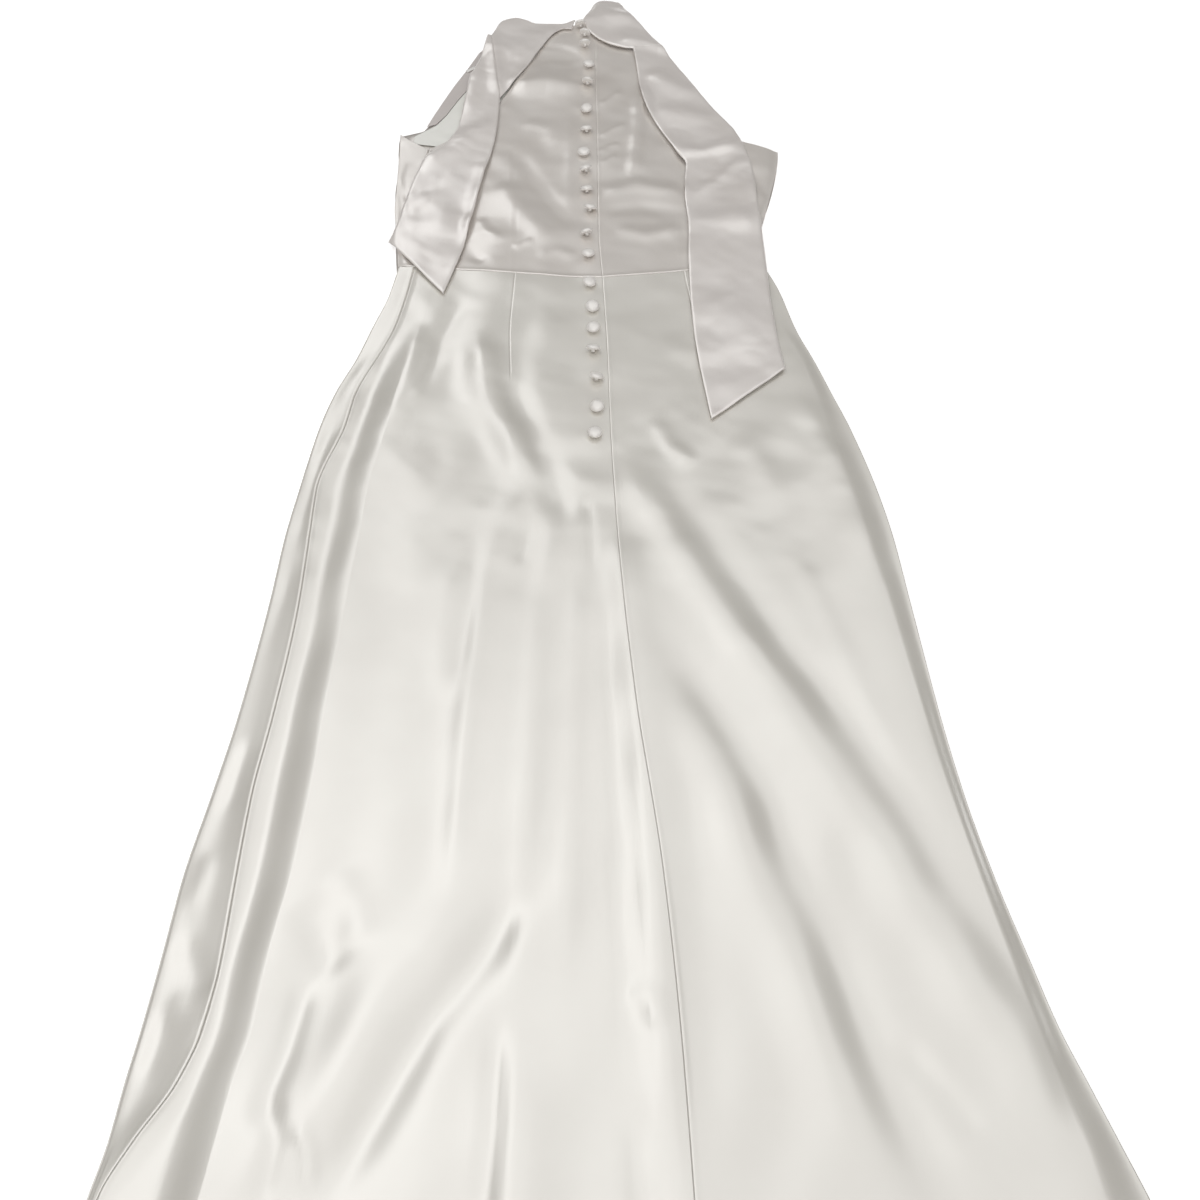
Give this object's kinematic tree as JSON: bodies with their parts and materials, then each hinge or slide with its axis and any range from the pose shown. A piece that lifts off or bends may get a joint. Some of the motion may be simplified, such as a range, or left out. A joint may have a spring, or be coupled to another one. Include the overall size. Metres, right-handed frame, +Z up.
{
  "type": "bridesmaid dress",
  "caption": "Long satin halter-neck dress laid flat with its back up: buttoned back, waist seam, A-line skirt and two loose neck ties.",
  "frame": {"origin": "middle of the laid dress, on the surface that it lies on", "axes": "+X to the right as the picture shows it, +Y towards the neck, +Z up out of the surface, towards the dress's back"},
  "size_m": [0.7618, 1.5261, 0.0178],
  "materials": {
    "satin_skirt": "ivory satin, smooth and softly shining",
    "satin_bodice": "ivory satin, lined, softly shining",
    "satin_tie": "ivory satin, double, softly shining",
    "satin_facing": "satin seen in the shade, mauve grey",
    "lining": "thin white lining, matt to silky",
    "covered_button": "ivory satin stretched over a domed button",
    "ribbon": "white narrow ribbon"
  },
  "bodies": {
    "root": {"front_skirt": "satin_skirt", "back_skirt_left": "satin_skirt", "back_skirt_right": "satin_skirt", "front_bodice": "satin_bodice", "side_bodice_left": "satin_bodice", "side_bodice_right": "satin_bodice", "back_bodice_left": "satin_bodice", "back_bodice_right": "satin_bodice", "armhole_facing_left": "satin_facing", "front_lining": "lining", "tie_left_neck": "satin_tie", "tie_left_fall": "satin_tie", "tie_right_neck": "satin_tie", "tie_right_fall": "satin_tie", "ribbon_tab": "ribbon", "button_01": "covered_button", "button_02": "covered_button", "button_03": "covered_button", "button_04": "covered_button", "button_05": "covered_button", "button_06": "covered_button", "button_07": "covered_button", "button_08": "covered_button", "button_09": "covered_button", "button_10": "covered_button", "button_11": "covered_button", "button_12": "covered_button", "button_13": "covered_button", "button_14": "covered_button", "button_15": "covered_button", "button_16": "covered_button", "button_17": "covered_button", "button_18": "covered_button", "button_19": "covered_button", "button_20": "covered_button"}
  },
  "joints": []
}
